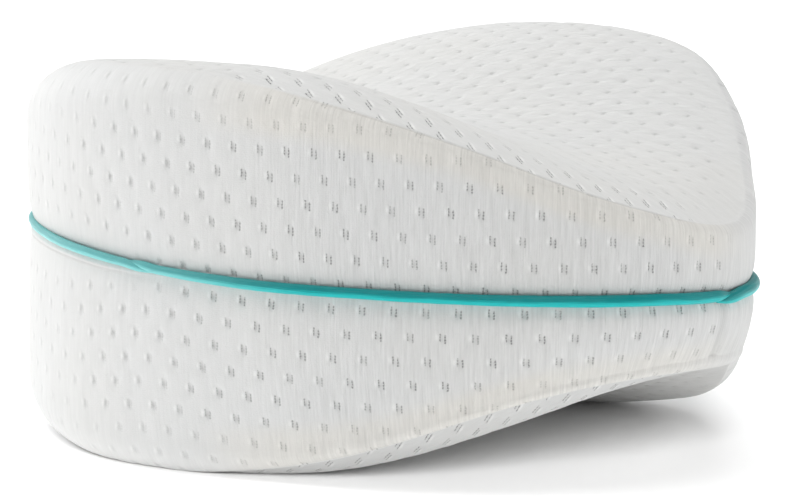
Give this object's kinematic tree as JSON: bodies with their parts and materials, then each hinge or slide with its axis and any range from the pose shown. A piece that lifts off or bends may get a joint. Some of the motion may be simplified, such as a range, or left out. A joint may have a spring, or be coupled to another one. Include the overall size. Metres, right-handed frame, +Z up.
{
  "type": "knee pillow",
  "caption": "Filled knee pillow with a broad leg saddle across its top and another across its underside, in a knitted cover with a corded piping around its side wall.",
  "frame": {"origin": "middle of the bounding box in plan, on the plane the pillow rests on", "axes": "+Z up, Y along both leg saddles, -X towards the wider lobe and +X towards the narrower one"},
  "size_m": [0.229, 0.2872, 0.1409],
  "materials": {
    "knit": "soft matte knitted jersey",
    "piping": "satin cloth-covered cord"
  },
  "bodies": {
    "root": {"cushion": "knit", "piping_front": "piping", "piping_back": "piping"}
  },
  "joints": []
}
